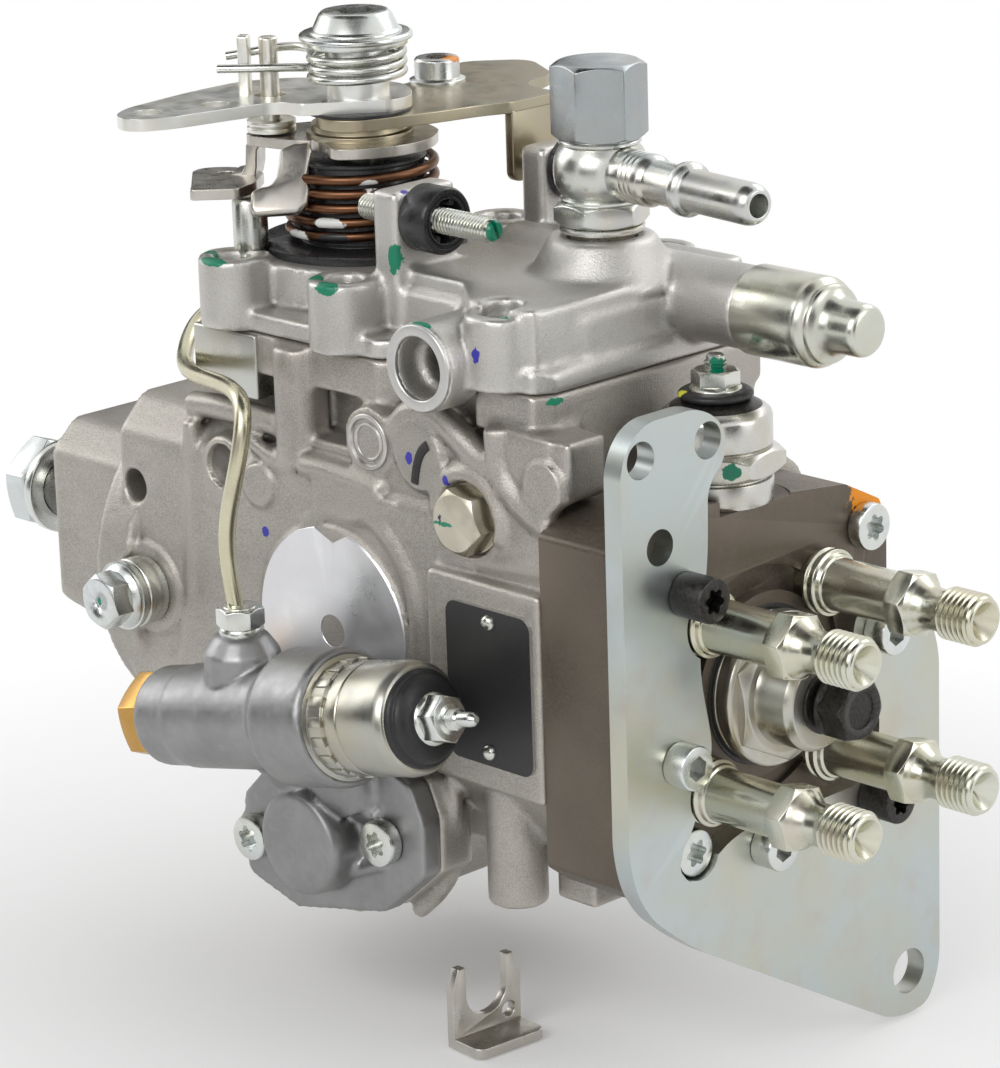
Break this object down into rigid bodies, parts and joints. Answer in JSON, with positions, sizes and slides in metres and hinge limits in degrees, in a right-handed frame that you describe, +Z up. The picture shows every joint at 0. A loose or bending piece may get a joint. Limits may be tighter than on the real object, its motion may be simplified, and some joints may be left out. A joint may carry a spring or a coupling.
{
  "type": "diesel injection pump",
  "caption": "Rotary distributor diesel injection pump with cast housing, control lever stack, cut-off solenoid, advance valve, inlet banjo and threaded outlets on a steel head.",
  "frame": {"origin": "on the drive shaft axis, in the face of the drive-end flange", "axes": "+X along the shaft towards the outlets, +Z up, +Y away from the side with the advance valve"},
  "size_m": [0.3053, 0.1473, 0.2332],
  "materials": {
    "cast_aluminium": "sand-blasted casting",
    "head_steel": "phosphated, satin",
    "zinc_steel": "zinc plated, slightly yellow",
    "black_steel": "black oxide",
    "inner_steel": "ground and oiled",
    "gold_steel": "yellow chromate",
    "copper_steel": "copper coated",
    "brass": "machined",
    "black_rubber": "moulded",
    "black_plastic": "moulded",
    "label": "plain plate"
  },
  "bodies": {
    "pump": {"pump_housing": "cast_aluminium", "governor_cover": "cast_aluminium", "torx_screws": "zinc_steel", "hydraulic_head": "head_steel", "outlet_unions": "head_steel", "delivery_valves": "inner_steel", "head_plug": "head_steel", "plug_bolt": "head_steel", "line_bracket": "zinc_steel", "bracket_screws_black": "black_steel", "bracket_screws_zinc": "zinc_steel", "stop_solenoid": "zinc_steel", "terminal_boots": "black_rubber", "terminal_nuts": "zinc_steel", "load_screw_cap": "zinc_steel", "banjo_cap_nut": "zinc_steel", "inlet_banjo": "zinc_steel", "banjo_adapter": "zinc_steel", "banjo_washers": "copper_steel", "shaft_seal": "black_rubber", "lock_bolt": "zinc_steel", "lock_spacer": "zinc_steel", "lock_fork": "zinc_steel", "valve_body": "cast_aluminium", "valve_plug": "brass", "advance_solenoid": "zinc_steel", "advance_line": "zinc_steel", "timing_spring": "inner_steel", "timing_rear_cover": "black_steel", "feed_pump_ring": "inner_steel", "plunger_springs": "inner_steel", "governor_pins": "inner_steel", "return_spring": "copper_steel", "spring_base": "black_plastic", "stop_screws": "zinc_steel", "stop_screw_caps": "black_plastic", "anchor_post": "zinc_steel", "nameplate": "label"},
    "shaft": {"drive_shaft": "inner_steel", "shaft_nut": "inner_steel", "shaft_washer": "zinc_steel", "feed_pump_rotor": "inner_steel", "drive_gear": "inner_steel", "cam_plate": "inner_steel", "distributor_plunger": "inner_steel"},
    "governor": {"flyweight_carrier": "inner_steel", "flyweights": "inner_steel", "governor_sleeve": "inner_steel"},
    "piston": {"timing_piston": "inner_steel"},
    "roller_carrier": {"roller_ring": "inner_steel", "cam_rollers": "inner_steel"},
    "armature": {"solenoid_armature": "inner_steel"},
    "lever": {"control_shaft": "inner_steel", "shaft_cap_nut": "black_steel", "control_lever": "zinc_steel", "lever_spring": "copper_steel", "stop_plate": "gold_steel", "carrier_lever": "zinc_steel"},
    "governor_arm": {"governor_lever": "inner_steel"},
    "sleeve": {"control_sleeve": "inner_steel"}
  },
  "joints": [
    {"name": "drive_shaft_spin", "type": "hinge", "parent": "pump", "child": "shaft", "pos_m": [0, 0, 0], "axis": [1, 0, 0], "continuous": true},
    {"name": "governor_spin", "type": "hinge", "parent": "pump", "child": "governor", "pos_m": [0.09, 0, 0.042], "axis": [1, 0, 0], "continuous": true},
    {"name": "timing_piston_slide", "type": "slide", "parent": "pump", "child": "piston", "axis": [0, -1, 0], "range_m": [0, 0.005], "stiffness_N_per_m": 2000, "springref_m": -0.001},
    {"name": "roller_ring_turn", "type": "hinge", "parent": "pump", "child": "roller_carrier", "pos_m": [0.1175, 0, 0], "axis": [-1, 0, 0], "range_deg": [0, 6.42]},
    {"name": "control_lever_turn", "type": "hinge", "parent": "pump", "child": "lever", "pos_m": [0.0875, -0.004, 0.1], "axis": [0, 0, 1], "range_deg": [0, 24], "stiffness_Nm_per_rad": 0.9, "springref_deg": -20.05},
    {"name": "armature_lift", "type": "slide", "parent": "pump", "child": "armature", "axis": [0, 0, 1], "range_m": [0, 0.002], "stiffness_N_per_m": 400, "springref_m": -0.002},
    {"name": "governor_lever_tilt", "type": "hinge", "parent": "pump", "child": "governor_arm", "pos_m": [0.156, 0, 0.03], "axis": [0, 1, 0], "range_deg": [0, 3]},
    {"name": "control_sleeve_slide", "type": "slide", "parent": "pump", "child": "sleeve", "axis": [1, 0, 0], "range_m": [-0.00103, 0]}
  ],
  "couplings": [
    {"joint": "governor_spin", "follows": "drive_shaft_spin", "ratio": -1.5455},
    {"joint": "roller_ring_turn", "follows": "timing_piston_slide", "rad_per_m": 22.371},
    {"joint": "control_sleeve_slide", "follows": "governor_lever_tilt", "m_per_rad": -0.01938}
  ]
}
